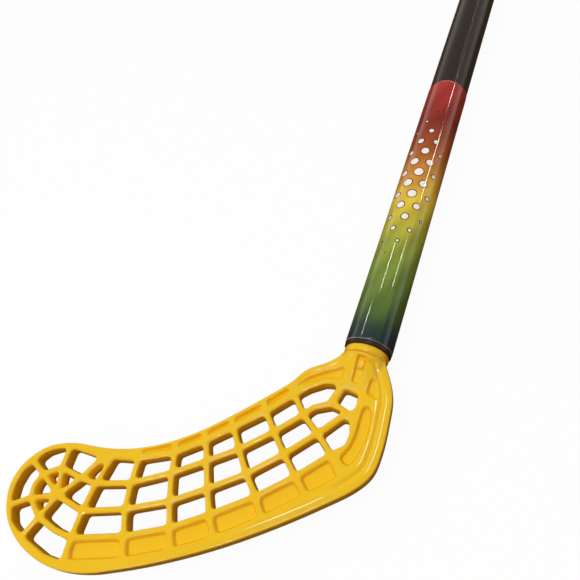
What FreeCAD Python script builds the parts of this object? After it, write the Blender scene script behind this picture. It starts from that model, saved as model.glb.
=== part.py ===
import FreeCAD, Part
import Sketcher
import math
import os

# A junior floorball stick, lying on its back.
# Every piece is drawn about the shaft: X across it with the toe of the blade at -X, Y along it from
# the blade to the hand end, Z out of the blade's front face, and Y = 0 at the lower end of the tube.
# At the end all pieces are moved together, so that the stick's box stands on Z = 0 over the origin.

doc = FreeCAD.newDocument("floorball_stick")
sheet = doc.addObject("Spreadsheet::Sheet", "sizes")

# Driving sizes in millimetres
driving_sizes = [
    ("tube_outer_diameter", "25"),
    ("tube_wall", "2"),
    ("tube_length", "750"),
    ("film_thickness", "0.2"),
    ("film_length", "196"),
    ("film_setback", "2.1"),
    ("blade_reach", "160"),
    ("blade_drop", "150"),
    ("blade_thickness", "8.4"),
    ("rib_width", "3"),
    ("cell_corner_radius", "1.8"),
    ("web_corner_radius", "0.9"),
    ("web_recess_depth", "2.6"),
    ("rim_edge_radius", "1.5"),
    ("neck_length", "20"),
    ("neck_foot_width", "34"),
    ("neck_foot_offset", "4"),
    ("collar_height", "4.6"),
    ("collar_step", "0.7"),
    ("collar_edge", "1.1"),
    ("spigot_length", "62"),
    ("spigot_clearance", "0.1"),
    ("spigot_rib_height", "1.6"),
    ("spigot_rib_width", "2.4"),
    ("spigot_wall", "3.2"),
    ("spigot_floor", "6"),
    ("screw_shank_diameter", "3.5"),
    ("screw_shank_length", "9"),
    ("screw_tip_length", "2"),
    ("screw_head_diameter", "7"),
    ("screw_head_height", "1.3"),
    ("screw_rim_height", "0.5"),
    ("screw_slot_width", "0.9"),
    ("screw_slot_length", "4"),
    ("screw_slot_depth", "0.7"),
    ("screw_clearance", "0.1"),
    ("screw_setback", "18"),
    ("screw_pitch", "24"),
    ("grip_length", "240"),
    ("grip_thickness", "1.6"),
    ("tape_width", "16"),
    ("tape_thickness", "0.3"),
    ("cap_plug_length", "24"),
    ("cap_plug_wall", "2.2"),
    ("cap_clearance", "0.1"),
    ("cap_flange_height", "5"),
    ("cap_floor", "3"),
    ("cap_edge_radius", "1.8"),
    ("cap_edge_inset", "0.3"),
]
for row, (alias, text) in enumerate(driving_sizes, start=1):
    sheet.set("A%d" % row, alias)
    sheet.set("B%d" % row, text)
    sheet.setAlias("B%d" % row, alias)
doc.recompute()


def size(alias):
    return float(sheet.get(alias))


# Counts, and shares that shape the small forms
spigot_rib_count = 6
neck_waist_share = 0.92
screw_crown_share = 0.6
largest_arc_share = 0.49
edge_slack_share = 0.001

# Sizes that several pieces share
blade_reach = size("blade_reach")
blade_drop = size("blade_drop")
half_blade = size("blade_thickness") / 2
half_rib_width = size("rib_width") / 2
tube_length = size("tube_length")
tube_radius = size("tube_outer_diameter") / 2
bore_radius = tube_radius - size("tube_wall")
film_radius = tube_radius + size("film_thickness")
grip_radius = tube_radius + size("grip_thickness")
collar_radius = tube_radius - size("collar_step")
spigot_radius = bore_radius - size("spigot_clearance")
spigot_core_radius = spigot_radius - size("spigot_rib_height")
screw_radius = size("screw_shank_diameter") / 2
screw_places = [size("screw_setback"), size("screw_setback") + size("screw_pitch")]
edge_slack = size("blade_thickness") * edge_slack_share

# The blade's plan, each point as (share of blade_reach, share of blade_drop)
outline_shares = [
    (-0.115, -0.083), (-0.172, -0.117), (-0.201, -0.177), (-0.312, -0.305), (-0.438, -0.437),
    (-0.563, -0.528), (-0.700, -0.582), (-0.850, -0.599), (-0.940, -0.642), (-0.991, -0.725),
    (-0.996, -0.806), (-0.949, -0.893), (-0.860, -0.951), (-0.738, -0.979), (-0.613, -0.961),
    (-0.438, -0.872), (-0.250, -0.752), (-0.075, -0.612), (0.079, -0.470), (0.127, -0.403),
    (0.134, -0.300), (0.123, -0.147), (0.097, -0.083),
]

# Centre lines of the ribs that run along the blade, each from the toe to the heel
rib_line_shares = {
    "rim": [(-0.603, -0.547), (-0.497, -0.489), (-0.421, -0.425), (-0.351, -0.358), (-0.269, -0.270),
            (-0.206, -0.194)],
    "upper": [(-0.688, -0.601), (-0.597, -0.579), (-0.487, -0.524), (-0.404, -0.455), (-0.333, -0.387),
              (-0.250, -0.304), (-0.180, -0.220)],
    "middle": [(-0.700, -0.700), (-0.586, -0.660), (-0.470, -0.588), (-0.376, -0.517), (-0.290, -0.449),
               (-0.202, -0.361), (-0.131, -0.279)],
    "lower": [(-0.700, -0.792), (-0.566, -0.740), (-0.438, -0.671), (-0.339, -0.597), (-0.239, -0.516),
              (-0.148, -0.421), (-0.069, -0.325)],
    "web": [(-0.694, -0.876), (-0.532, -0.813), (-0.404, -0.743), (-0.302, -0.667), (-0.186, -0.571),
            (-0.092, -0.476), (-0.010, -0.379)],
    "flange": [(-0.675, -0.948), (-0.501, -0.879), (-0.370, -0.804), (-0.259, -0.727), (-0.145, -0.629),
               (-0.041, -0.524), (0.041, -0.441)],
}

# Knots of the round web in the toe: its hub, its ring and the places where its spokes meet the rim
toe_knot_shares = {
    "hub": (-0.809, -0.776),
    "ring_a": (-0.897, -0.729), "ring_b": (-0.843, -0.691), "ring_c": (-0.759, -0.699),
    "ring_d": (-0.896, -0.813), "ring_e": (-0.834, -0.857),
    "ring_left": (-0.906, -0.772), "ring_low": (-0.762, -0.873),
    "rim_a": (-0.961, -0.701), "rim_ab": (-0.935, -0.656), "rim_ba": (-0.900, -0.631),
    "rim_b": (-0.851, -0.611), "rim_c": (-0.718, -0.610),
    "rim_ad": (-0.981, -0.745), "rim_left": (-0.983, -0.791), "rim_da": (-0.972, -0.832),
    "rim_d": (-0.957, -0.860), "rim_de": (-0.921, -0.908), "rim_e": (-0.858, -0.934),
    "rim_low": (-0.756, -0.956), "rim_post": (-0.684, -0.953),
    "gore_left": (-0.726, -0.627), "gore_right": (-0.690, -0.627),
}
# The post between the toe and the long cells starts the rib lines
post_knots = {"post_upper": "middle", "post_lower": "lower", "post_web": "web"}
toe_cells = [
    ("rim_a", "rim_ab", "rim_ba", "rim_b", "ring_b", "ring_a"),
    ("rim_a", "ring_a", "ring_left", "ring_d", "rim_d", "rim_da", "rim_left", "rim_ad"),
    ("ring_d", "ring_e", "rim_e", "rim_de", "rim_d"),
    ("rim_b", "rim_c", "ring_c", "ring_b"),
    ("ring_e", "ring_low", "post_web", "rim_post", "rim_low", "rim_e"),
    ("ring_c", "post_upper", "post_lower", "hub"),
    ("hub", "post_lower", "post_web", "ring_low", "ring_e"),
    ("gore_left", "gore_right", "post_upper", "ring_c"),
]
ring_cells = [
    ("ring_a", "ring_b", "hub"),
    ("ring_b", "ring_c", "hub"),
    ("ring_left", "ring_a", "hub", "ring_d"),
    ("ring_d", "hub", "ring_e"),
]

# Openings at the heel, each a ring of rib centre points
heel_cell_shares = [
    [(-0.180, -0.220), (-0.145, -0.180), (-0.100, -0.147), (-0.040, -0.135), (-0.065, -0.221),
     (-0.105, -0.244), (-0.131, -0.279)],
    [(-0.036, -0.145), (0.024, -0.156), (0.029, -0.208), (0.012, -0.238), (-0.051, -0.215)],
    [(-0.131, -0.279), (-0.105, -0.244), (-0.056, -0.219), (-0.009, -0.226), (-0.015, -0.251),
     (-0.069, -0.325)],
    [(-0.066, -0.328), (-0.009, -0.248), (0.020, -0.249), (0.035, -0.300), (0.029, -0.343),
     (-0.010, -0.379)],
]

# Edge of the bent recess in the heel, and of the two recesses beside the neck
heel_recess_shares = [
    (0.041, -0.196), (0.066, -0.193), (0.077, -0.240), (0.080, -0.287), (0.072, -0.333),
    (0.053, -0.405), (0.013, -0.383), (0.035, -0.343), (0.042, -0.300),
]
neck_recess_shares = [
    [(-0.178, -0.193), (-0.141, -0.148), (-0.100, -0.116), (-0.046, -0.087), (-0.044, -0.131),
     (-0.087, -0.136), (-0.131, -0.164)],
    [(0.044, -0.103), (0.059, -0.107), (0.080, -0.169), (0.041, -0.157)],
]


def plan(shares):
    return [(across * blade_reach, along * blade_drop) for across, along in shares]


# A ring of points that turns to the left
def turned_left(points):
    ring = list(points)
    area = sum(a[0] * b[1] - b[0] * a[1] for a, b in zip(ring, ring[1:] + ring[:1]))
    return ring if area > 0 else ring[::-1]


# Each side moves inwards by the same distance, and neighbouring sides meet again
def inset(points, distance):
    ring = turned_left(points)
    sides = []
    for (x0, y0), (x1, y1) in zip(ring, ring[1:] + ring[:1]):
        run = math.hypot(x1 - x0, y1 - y0)
        ux = (x1 - x0) / run
        uy = (y1 - y0) / run
        sides.append((x0 - uy * distance, y0 + ux * distance, ux, uy))
    corners = []
    for (ax, ay, ux, uy), (bx, by, vx, vy) in zip(sides[-1:] + sides[:-1], sides):
        along = ((bx - ax) * vy - (by - ay) * vx) / (ux * vy - uy * vx)
        corners.append((ax + ux * along, ay + uy * along))
    return corners


# A closed ring of straight runs and tangent arcs. Without a radius, each arc is as large as its runs allow
def rounded_ring(points, radius=None):
    ring = [FreeCAD.Vector(x, y, 0) for x, y in turned_left(points)]
    arcs = []
    for before, corner, after in zip(ring[-1:] + ring[:-1], ring, ring[1:] + ring[:1]):
        back = before - corner
        ahead = after - corner
        half_turn = (math.pi - back.getAngle(ahead)) / 2
        cut = largest_arc_share * min(back.Length, ahead.Length)
        if radius is not None:
            cut = min(cut, radius * math.tan(half_turn))
        back.normalize()
        ahead.normalize()
        crown = (back + ahead).normalize() * (cut * math.tan(half_turn / 2))
        arcs.append((corner + back * cut, corner + crown, corner + ahead * cut))
    curves = []
    for arc, following in zip(arcs, arcs[1:] + arcs[:1]):
        curves.append(Part.Arc(*arc))
        curves.append(Part.LineSegment(arc[2], following[0]))
    return curves


# The four-sided fields between two neighbouring rib lines
def grid_fields(above, below):
    fields = []
    for index in range(len(above) - 1):
        fields.append([above[index], above[index + 1], below[index + 1], below[index]])
    return fields


def new_body(label):
    body = doc.addObject("PartDesign::Body", label)
    body.Label = label
    return body


def origin_feature(body, role):
    return [feature for feature in body.Origin.OriginFeatures if feature.Role == role][0]


# A sketch on one of the body's own planes, moved along the plane's normal by an expression.
# The normal of the XZ plane points to -Y, towards the blade.
def new_sketch(body, name, role, offset=None):
    sketch = body.newObject("Sketcher::SketchObject", name)
    sketch.AttachmentSupport = [(origin_feature(body, role), "")]
    sketch.MapMode = "FlatFace"
    if offset is not None:
        sketch.setExpression("AttachmentOffset.Base.z", offset)
    return sketch


# A circle about the shaft's axis, with its radius bound to the sheet
def add_circle(sketch, name, expression):
    circle = Part.Circle(FreeCAD.Vector(0, 0, 0), FreeCAD.Vector(0, 0, 1), tube_radius)
    place = sketch.addGeometry(circle)
    sketch.addConstraint(Sketcher.Constraint("Coincident", place, 3, -1, 1))
    radius = sketch.addConstraint(Sketcher.Constraint("Radius", place, tube_radius))
    sketch.renameConstraint(radius, name)
    sketch.setExpression("Constraints." + name, expression)


def add_polygon(sketch, points):
    corners = [FreeCAD.Vector(x, y, 0) for x, y in points]
    for start, end in zip(corners, corners[1:] + corners[:1]):
        sketch.addGeometry(Part.LineSegment(start, end))


def new_feature(body, kind, name, sketch):
    feature = body.newObject("PartDesign::" + kind, name)
    feature.Profile = sketch
    return feature


def pad(body, name, sketch, length, symmetric=False, reverse=False):
    feature = new_feature(body, "Pad", name, sketch)
    feature.setExpression("Length", length)
    feature.SideType = "Symmetric" if symmetric else "One side"
    feature.Reversed = reverse
    return feature


# Without a depth the pocket goes right through, both ways
def pocket(body, name, sketch, depth=None, reverse=False):
    feature = new_feature(body, "Pocket", name, sketch)
    feature.Reversed = reverse
    if depth is None:
        feature.Type = "ThroughAll"
        feature.SideType = "Symmetric"
    else:
        feature.setExpression("Length", depth)
    return feature


# A closed profile in the XY plane, turned about the Y axis
def revolve(body, name, points):
    sketch = new_sketch(body, name + "_profile", "XY_Plane")
    add_polygon(sketch, points)
    feature = new_feature(body, "Revolution", name, sketch)
    feature.ReferenceAxis = (sketch, ["V_Axis"])
    return feature


def mirror_to_back(body, name, original):
    feature = body.newObject("PartDesign::Mirrored", name)
    feature.Originals = [original]
    feature.MirrorPlane = (origin_feature(body, "XY_Plane"), [""])
    body.Tip = feature


def round_edges(body, name, base, edges, radius):
    feature = body.newObject("PartDesign::Fillet", name)
    feature.Base = (base, edges)
    feature.setExpression("Radius", radius)
    doc.recompute()
    return feature


# Holes for the two blade screws, from the axis out through the back
def drill_screw_holes(body, radius):
    sketch = new_sketch(body, "screw_hole_rings", "XY_Plane")
    for place in screw_places:
        sketch.addGeometry(Part.Circle(FreeCAD.Vector(0, place, 0), FreeCAD.Vector(0, 0, 1), radius))
    pocket(body, "screw_holes", sketch, "sizes.tube_outer_diameter")


# One moulding: the lattice blade, its neck, the collar under the tube and the spigot inside the tube
def make_blade():
    body = new_body("blade")
    add_plate_and_neck(body)
    add_collar_and_spigot(body)
    cut_lattice(body)
    return body


# The flat plate with rounded edges all round its rim, and the neck that grows from it to the round collar
def add_plate_and_neck(body):
    collar_height = size("collar_height")
    waist = collar_radius * neck_waist_share
    throat = [(waist, -collar_height), (waist, -collar_height / 2)]
    mirrored_throat = [(-x, y) for x, y in reversed(throat)]
    sketch = new_sketch(body, "blade_outline", "XY_Plane")
    sketch.addGeometry(rounded_ring(mirrored_throat + plan(outline_shares) + throat))
    plate = pad(body, "blade_plate", sketch, "sizes.blade_thickness", symmetric=True)
    doc.recompute()
    rim = []
    for index, edge in enumerate(plate.Shape.Edges, start=1):
        if edge.BoundBox.ZLength < edge_slack:
            rim.append("Edge%d" % index)
    round_edges(body, "rim_edges", plate, rim, "sizes.rim_edge_radius")

    foot = new_sketch(body, "neck_foot", "XZ_Plane", "sizes.collar_height + sizes.neck_length")
    foot_center = FreeCAD.Vector(-size("neck_foot_offset"), 0, 0)
    foot.addGeometry(Part.Ellipse(foot_center, size("neck_foot_width") / 2, half_blade))
    top = new_sketch(body, "neck_top", "XZ_Plane", "sizes.collar_height / 2")
    top_radius = "(sizes.tube_outer_diameter / 2 - sizes.collar_step) * %s" % neck_waist_share
    add_circle(top, "neck_top_radius", top_radius)
    neck = body.newObject("PartDesign::AdditiveLoft", "neck")
    neck.Profile = foot
    neck.Sections = [top]

    # Two recesses beside the neck, open to the front and to the back
    floor = "sizes.blade_thickness / 2 - sizes.web_recess_depth"
    sketch = new_sketch(body, "neck_recess_rings", "XY_Plane", floor)
    for recess in neck_recess_shares:
        sketch.addGeometry(rounded_ring(plan(recess), size("web_corner_radius")))
    recesses = pocket(body, "neck_recesses", sketch, "sizes.tube_outer_diameter", reverse=True)
    mirror_to_back(body, "neck_recesses_of_the_back", recesses)


# The collar that carries the tube's end, and the spigot: a round core with crush ribs and a bore
def add_collar_and_spigot(body):
    height = size("collar_height")
    edge = size("collar_edge")
    revolve(body, "collar", [
        (0, 0), (0, -height), (collar_radius - edge, -height), (collar_radius, edge - height),
        (collar_radius, 0),
    ])
    core_radius = "sizes.tube_outer_diameter / 2 - sizes.tube_wall - sizes.spigot_clearance"
    core_radius += " - sizes.spigot_rib_height"
    sketch = new_sketch(body, "spigot_ring", "XZ_Plane")
    add_circle(sketch, "spigot_core_radius", core_radius)
    pad(body, "spigot", sketch, "sizes.spigot_length", reverse=True)

    half_width = size("spigot_rib_width") / 2
    root = spigot_core_radius - size("spigot_rib_height")
    crest = math.sqrt(spigot_radius ** 2 - half_width ** 2)
    sketch = new_sketch(body, "spigot_rib_section", "XZ_Plane")
    add_polygon(sketch, [(root, -half_width), (crest, -half_width), (crest, half_width), (root, half_width)])
    rib = pad(body, "spigot_rib", sketch, "sizes.spigot_length", reverse=True)
    doc.recompute()
    ribs = body.newObject("PartDesign::PolarPattern", "spigot_ribs")
    ribs.Originals = [rib]
    ribs.Axis = (origin_feature(body, "Y_Axis"), [""])
    ribs.Occurrences = spigot_rib_count
    body.Tip = ribs

    sketch = new_sketch(body, "spigot_bore_ring", "XZ_Plane", "-sizes.spigot_length")
    add_circle(sketch, "spigot_bore_radius", core_radius + " - sizes.spigot_wall")
    pocket(body, "spigot_bore", sketch, "sizes.spigot_length - sizes.spigot_floor", reverse=True)
    drill_screw_holes(body, screw_radius)


# The cells go right through. Web panels along the bottom, slots along the top and the bent recess
# of the heel are sunk from both faces.
def cut_lattice(body):
    knots = dict(zip(toe_knot_shares, plan(toe_knot_shares.values())))
    lines = {name: plan(shares) for name, shares in rib_line_shares.items()}
    for knot, line in post_knots.items():
        knots[knot] = lines[line][0]
    wide_cells = [plan(shares) for shares in heel_cell_shares]
    wide_cells += [[knots[name] for name in cell] for cell in toe_cells]
    small_cells = [[knots[name] for name in cell] for cell in ring_cells]
    for above, below in (("upper", "middle"), ("middle", "lower"), ("lower", "web")):
        wide_cells += grid_fields(lines[above], lines[below])
    panels = grid_fields(lines["web"], lines["flange"])
    slots = grid_fields(lines["rim"], lines["upper"][1:])

    sketch = new_sketch(body, "cell_rings", "XY_Plane")
    for cell in wide_cells:
        sketch.addGeometry(rounded_ring(inset(cell, half_rib_width), size("cell_corner_radius")))
    for cell in small_cells:
        sketch.addGeometry(rounded_ring(inset(cell, half_rib_width), size("web_corner_radius")))
    pocket(body, "cells", sketch)
    sketch = new_sketch(body, "web_rings", "XY_Plane", "sizes.blade_thickness / 2")
    for panel in panels + slots:
        sketch.addGeometry(rounded_ring(inset(panel, half_rib_width), size("web_corner_radius")))
    sketch.addGeometry(rounded_ring(plan(heel_recess_shares), size("cell_corner_radius")))
    webs = pocket(body, "webs", sketch, "sizes.web_recess_depth")
    mirror_to_back(body, "webs_of_the_back", webs)


# A plain round tube from one place along the shaft to another, with the holes of the blade screws
def make_sleeve(label, inner, outer, length, offset=None):
    body = new_body(label)
    sketch = new_sketch(body, label + "_section", "XZ_Plane", offset)
    add_circle(sketch, "outer_radius", outer)
    add_circle(sketch, "inner_radius", inner)
    pad(body, label + "_wall", sketch, length, reverse=True)
    drill_screw_holes(body, screw_radius + size("screw_clearance"))
    return body


def make_shaft_tube():
    outer = "sizes.tube_outer_diameter / 2"
    return make_sleeve("shaft_tube", outer + " - sizes.tube_wall", outer, "sizes.tube_length")


# The printed film starts a little above the lower end of the tube and lies on its outside
def make_decor_film():
    inner = "sizes.tube_outer_diameter / 2"
    outer = inner + " + sizes.film_thickness"
    return make_sleeve("decor_film", inner, outer, "sizes.film_length", "-sizes.film_setback")


# A low-headed self-tapping screw with a cross slot. Its own +Y points out of the head
def make_screw(label):
    body = new_body(label)
    head_radius = size("screw_head_diameter") / 2
    head_height = size("screw_head_height")
    shank = size("screw_shank_length")
    revolve(body, label + "_turned", [
        (0, -shank - size("screw_tip_length")),
        (screw_radius, -shank),
        (screw_radius, 0),
        (head_radius, 0),
        (head_radius, size("screw_rim_height")),
        (head_radius * screw_crown_share, head_height),
        (0, head_height),
    ])
    near = size("screw_slot_width") / 2
    far = size("screw_slot_length") / 2
    sketch = new_sketch(body, label + "_cross", "XZ_Plane", "-sizes.screw_head_height")
    add_polygon(sketch, [
        (far, near), (near, near), (near, far), (-near, far), (-near, near), (-far, near),
        (-far, -near), (-near, -near), (-near, -far), (near, -far), (near, -near), (far, -near),
    ])
    pocket(body, label + "_slot", sketch, "sizes.screw_slot_depth", reverse=True)
    return body


# The wound grip band as one sleeve, with a rebate at its lower end for the finishing tape
def make_grip_band():
    body = new_body("grip_band")
    foot = tube_length - size("grip_length")
    rebate = grip_radius - size("tape_thickness")
    shoulder = foot + size("tape_width")
    revolve(body, "grip_sleeve", [
        (tube_radius, foot), (rebate, foot), (rebate, shoulder), (grip_radius, shoulder),
        (grip_radius, tube_length), (tube_radius, tube_length),
    ])
    return body


def make_grip_end_tape():
    body = new_body("grip_end_tape")
    foot = tube_length - size("grip_length")
    rebate = grip_radius - size("tape_thickness")
    shoulder = foot + size("tape_width")
    revolve(body, "tape_ring", [
        (rebate, foot), (grip_radius, foot), (grip_radius, shoulder), (rebate, shoulder),
    ])
    return body


# A hollow plug in the tube, with a flange that covers the ends of the tube and the grip
def make_end_cap():
    body = new_body("end_cap")
    plug = bore_radius - size("cap_clearance")
    hollow = plug - size("cap_plug_wall")
    flange = grip_radius - size("cap_edge_inset")
    foot = tube_length - size("cap_plug_length")
    top = tube_length + size("cap_flange_height")
    ceiling = top - size("cap_floor")
    turned = revolve(body, "cap_turned", [
        (hollow, foot), (plug, foot), (plug, tube_length), (flange, tube_length), (flange, top),
        (0, top), (0, ceiling), (hollow, ceiling),
    ])
    doc.recompute()
    rim = []
    for index, edge in enumerate(turned.Shape.Edges, start=1):
        box = edge.BoundBox
        if abs(box.YMin - top) < edge_slack and abs(box.XMax - flange) < edge_slack:
            rim.append("Edge%d" % index)
    round_edges(body, "cap_edge", turned, rim, "sizes.cap_edge_radius")
    return body


pieces = [make_blade(), make_shaft_tube(), make_decor_film(), make_grip_band(), make_grip_end_tape(),
          make_end_cap()]
screws = [make_screw("blade_screw_lower"), make_screw("blade_screw_upper")]
doc.recompute()

# The screws stand in the back of the shaft, heads out
heads_back = FreeCAD.Rotation(FreeCAD.Vector(1, 0, 0), -90)
for screw, place in zip(screws, screw_places):
    screw.Placement = FreeCAD.Placement(FreeCAD.Vector(0, place, -film_radius), heads_back)
pieces += screws

# The whole stick moves so that the bottom of its box is centred on the origin
whole = FreeCAD.BoundBox()
for piece in pieces:
    whole.add(piece.Shape.optimalBoundingBox())
shift = FreeCAD.Vector(-whole.Center.x, -whole.Center.y, -whole.ZMin)
for piece in pieces:
    piece.Placement = FreeCAD.Placement(piece.Placement.Base + shift, piece.Placement.Rotation)
doc.recompute()

for item in doc.Objects:
    if "Invalid" in item.State or "Error" in item.State:
        raise RuntimeError("%s failed: %s" % (item.Label, item.State))
for piece in pieces:
    if piece.Shape.isNull() or not piece.Shape.isValid():
        raise RuntimeError("%s has no valid shape" % piece.Label)

print("shaft axis at X %.3f, lower end of the tube at Y %.3f, axis height Z %.3f" % tuple(shift))
os.makedirs("parts", exist_ok=True)
for piece in pieces:
    print("%-18s %10.1f cubic mm, %d solid" % (piece.Label, piece.Shape.Volume, len(piece.Shape.Solids)))
    piece.Shape.exportStep("parts/%s.step" % piece.Label)
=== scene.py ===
from functools import partial

import bmesh
import bpy
import numpy as np
from mathutils import Matrix, Vector
from mathutils.geometry import delaunay_2d_cdt


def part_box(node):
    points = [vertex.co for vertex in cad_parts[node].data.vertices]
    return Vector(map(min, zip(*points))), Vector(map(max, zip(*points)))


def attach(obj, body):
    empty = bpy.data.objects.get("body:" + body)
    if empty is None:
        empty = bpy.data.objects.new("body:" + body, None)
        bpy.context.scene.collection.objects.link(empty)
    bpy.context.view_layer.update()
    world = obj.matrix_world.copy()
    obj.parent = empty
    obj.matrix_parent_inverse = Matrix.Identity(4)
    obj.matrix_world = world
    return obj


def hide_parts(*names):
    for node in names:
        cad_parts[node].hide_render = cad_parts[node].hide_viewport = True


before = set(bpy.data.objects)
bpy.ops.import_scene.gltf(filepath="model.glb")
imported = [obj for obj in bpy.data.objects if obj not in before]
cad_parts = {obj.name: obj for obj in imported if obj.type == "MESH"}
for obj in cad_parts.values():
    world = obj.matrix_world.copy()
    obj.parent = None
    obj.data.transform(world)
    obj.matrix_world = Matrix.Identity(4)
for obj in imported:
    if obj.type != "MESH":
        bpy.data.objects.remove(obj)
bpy.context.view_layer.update()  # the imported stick, lying on its back
mm = 0.001

# All pieces are worked out in the stick's own millimetres: x across, y up the tube from its lower end,
# z out of the blade's front. A point of the blade's plan is one complex number, x + y j.
tubeLow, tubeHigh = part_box("shaft_tube")
tubeRadius = (tubeHigh.x - tubeLow.x) / 2 / mm
tubeLength = (tubeHigh.y - tubeLow.y) / mm
stickOrigin = np.array((tubeLow.x + tubeRadius * mm, tubeLow.y, tubeLow.z + tubeRadius * mm))
print("frame: tube radius %.2f mm, length %.1f mm" % (tubeRadius, tubeLength))

# Meshing: points nearer than a weld become one
meshing = {
    "solidWeld": 0.0001,
    "cutWeld": 0.001,
    "planWeld": 0.000001,
    "pieceWeld": 0.0005,
    "sharpAngle": 50.0,  # degrees from which an edge stays sharp
    "batch": 4000,  # points that are measured at a time
}


# Lowest and highest corner of a CAD node in the stick's millimetres
def stickBox(node):
    low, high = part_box(node)
    return (np.array(low) - stickOrigin) / mm, (np.array(high) - stickOrigin) / mm


# 0 below the first edge, 1 above the second, and a smooth rise with level ends between them
def smoothStep(first, second, value):
    share = np.clip((value - first) / (second - first), 0, 1)
    return share * share * (3 - 2 * share)


# Quads between neighbouring rows of a grid whose columns close round, unless they stay open
def gridFaces(rows, columns, closed=True):
    spans = columns if closed else columns - 1
    row, column = np.meshgrid(np.arange(rows - 1), np.arange(spans), indexing="ij")
    here = row * columns
    following = (column + 1) % columns
    corners = (here + column, here + following, here + columns + following, here + columns + column)
    return np.stack(corners, axis=-1).reshape(-1, 4).tolist()


# Points and faces become one smooth closed mesh in the row's metres, which replaces a CAD node
def addPiece(name, points, faces, material, slotName, node):
    mesh = bpy.data.meshes.new(name)
    mesh.from_pydata((stickOrigin + mm * np.asarray(points)).tolist(), [], faces)
    shell = bmesh.new()
    shell.from_mesh(mesh)
    weld = meshing["pieceWeld"] * mm
    bmesh.ops.remove_doubles(shell, verts=shell.verts, dist=weld)
    bmesh.ops.dissolve_degenerate(shell, edges=shell.edges, dist=weld)
    loose = [edge for edge in shell.edges if edge.is_wire]
    bmesh.ops.delete(shell, geom=loose, context="EDGES")
    bmesh.ops.recalc_face_normals(shell, faces=shell.faces)
    openEdges = sum(not edge.is_manifold for edge in shell.edges)
    shell.to_mesh(mesh)
    shell.free()
    mesh.shade_smooth()
    mesh.set_sharp_from_angle(angle=np.radians(meshing["sharpAngle"]))
    mesh.materials.append(material)
    piece = bpy.data.objects.new(name, mesh)
    bpy.context.scene.collection.objects.link(piece)
    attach(piece, "root")
    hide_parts(node)
    print("%s: %d faces, %d open edges" % (name, len(mesh.polygons), openEdges))
    return piece


# A material with a Principled shader. The helpers after it add and join nodes, in a material or a world.
def newMaterial(name, **sockets):
    material = bpy.data.materials.new(name)
    material.use_nodes = True
    shader = material.node_tree.nodes["Principled BSDF"]
    for socket, value in sockets.items():
        shader.inputs[socket.replace("_", " ")].default_value = value
    return material, shader


def addNode(holder, kind, values=None, **settings):
    node = holder.node_tree.nodes.new("ShaderNode" + kind)
    for name, value in settings.items():
        setattr(node, name, value)
    for socket, value in (values or {}).items():
        node.inputs[socket].default_value = value
    return node


def link(holder, source, target):
    holder.node_tree.links.new(source, target)


def mathNode(holder, operation, first, second=None, third=None):
    node = addNode(holder, "Math", operation=operation)
    for socket, value in zip(node.inputs, (first, second, third)):
        if isinstance(value, (int, float)):
            socket.default_value = value
        elif value is not None:
            link(holder, value, socket)
    return node.outputs[0]


# Mixes two colours by a factor that varies
def mixColors(holder, factor, first, second, blend="MIX"):
    mix = addNode(holder, "Mix", data_type="RGBA", blend_type=blend)
    for socket, value in ((mix.inputs[0], factor), (mix.inputs[6], first), (mix.inputs[7], second)):
        if isinstance(value, tuple):
            socket.default_value = (*value, 1)
        else:
            link(holder, value, socket)
    return mix.outputs[2]


# A smooth change from 0 to 1 while a value goes from one edge to the other
def easeNode(holder, source, edges):
    ease = addNode(holder, "MapRange", interpolation_type="SMOOTHSTEP")
    ease.inputs["From Min"].default_value, ease.inputs["From Max"].default_value = edges
    link(holder, source, ease.inputs["Value"])
    return ease.outputs[0]


def rampNode(material, source, stops):
    ramp = addNode(material, "ValToRGB")
    elements = ramp.color_ramp.elements
    while len(elements) < len(stops):
        elements.new(0.5)
    for element, (place, color) in zip(elements, stops):
        element.position = place
        element.color = (*color, 1)
    link(material, source, ramp.inputs[0])
    return ramp.outputs[0]


# Object coordinates in stick millimetres, so that every pattern is written in the stick's own sizes
def stickCoordinates(material):
    place = addNode(material, "TexCoord")
    shift = addNode(material, "VectorMath", {1: tuple(stickOrigin)}, operation="SUBTRACT")
    scale = addNode(material, "VectorMath", {3: 1 / mm}, operation="SCALE")
    link(material, place.outputs["Object"], shift.inputs[0])
    link(material, shift.outputs[0], scale.inputs[0])
    return scale.outputs[0]


# Noise with so many waves to a millimetre, finer detail in it, and a stretch along the three axes
def noiseNode(material, place, scale, detail, stretch=None):
    if stretch is not None:
        mapping = addNode(material, "Mapping", {"Scale": stretch})
        link(material, place, mapping.inputs[0])
        place = mapping.outputs[0]
    noise = addNode(material, "TexNoise", {"Scale": scale, "Detail": detail})
    link(material, place, noise.inputs["Vector"])
    return noise.outputs["Fac"]


# Roughness that goes from a first to a second value with a pattern, and colour that does the same
def roughenBy(material, shader, pattern, dulls):
    low, high = dulls
    link(material, mathNode(material, "MULTIPLY_ADD", pattern, high - low, low), shader.inputs["Roughness"])


def colorBy(material, shader, pattern, tones):
    link(material, mixColors(material, pattern, *tones), shader.inputs["Base Color"])


# Relief from a pattern, with its strength and its height in millimetres
def bumpFrom(material, shader, pattern, strength, height):
    bump = addNode(material, "Bump", {"Strength": strength, "Distance": height * mm})
    link(material, pattern, bump.inputs["Height"])
    link(material, bump.outputs[0], shader.inputs["Normal"])


# A finish whose colour, roughness and relief follow one noise
def noisyFinish(name, values, **sockets):
    material, shader = newMaterial(name, **sockets)
    pattern = noiseNode(material, stickCoordinates(material), *values["pattern"])
    colorBy(material, shader, pattern, values["tones"])
    roughenBy(material, shader, pattern, values["dulls"])
    if "relief" in values:
        bumpFrom(material, shader, pattern, *values["relief"])
    return material


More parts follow.
